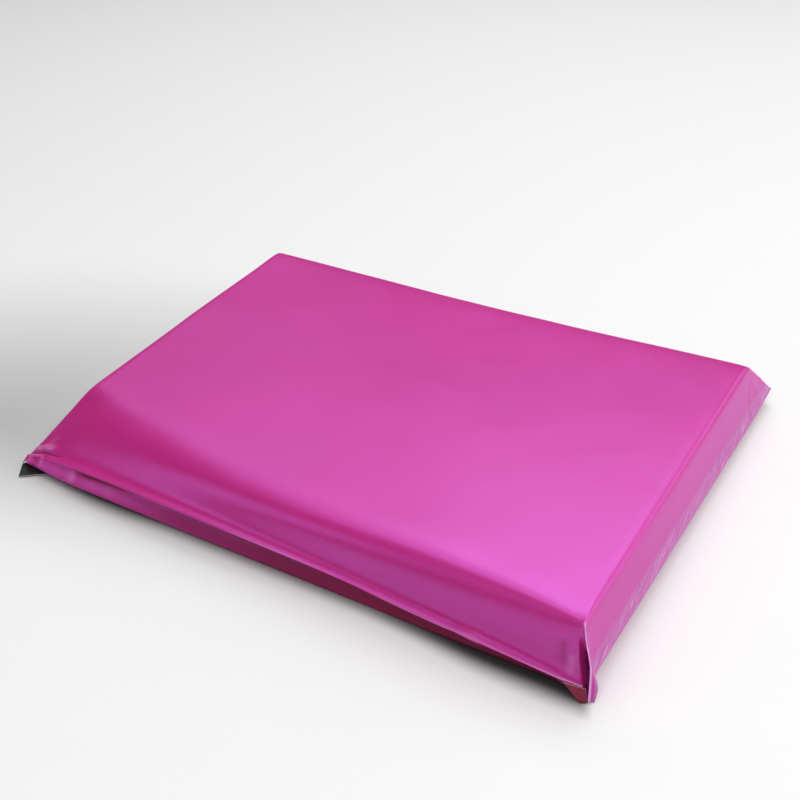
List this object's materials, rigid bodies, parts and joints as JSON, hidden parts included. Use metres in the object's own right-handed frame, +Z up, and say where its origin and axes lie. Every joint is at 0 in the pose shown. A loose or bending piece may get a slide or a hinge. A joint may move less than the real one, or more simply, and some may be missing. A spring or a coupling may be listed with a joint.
{
  "type": "poly mailer bag",
  "caption": "Sealed plastic mailing bag, filled and lying face up, with welded side fins, corner ears and a flap folded underneath.",
  "frame": {"origin": "centre of the bounding box, at the flat underside that rests on the floor", "axes": "+X along the long side towards the right welded side, +Y away from the flap's fold towards the bag's bottom fold, +Z up"},
  "size_m": [0.4036, 0.3328, 0.0436],
  "materials": {
    "film": "pink co-extruded polythene film with a soft sheen, black on its inner side"
  },
  "bodies": {
    "root": {"mailer_bag": "film"}
  },
  "joints": []
}
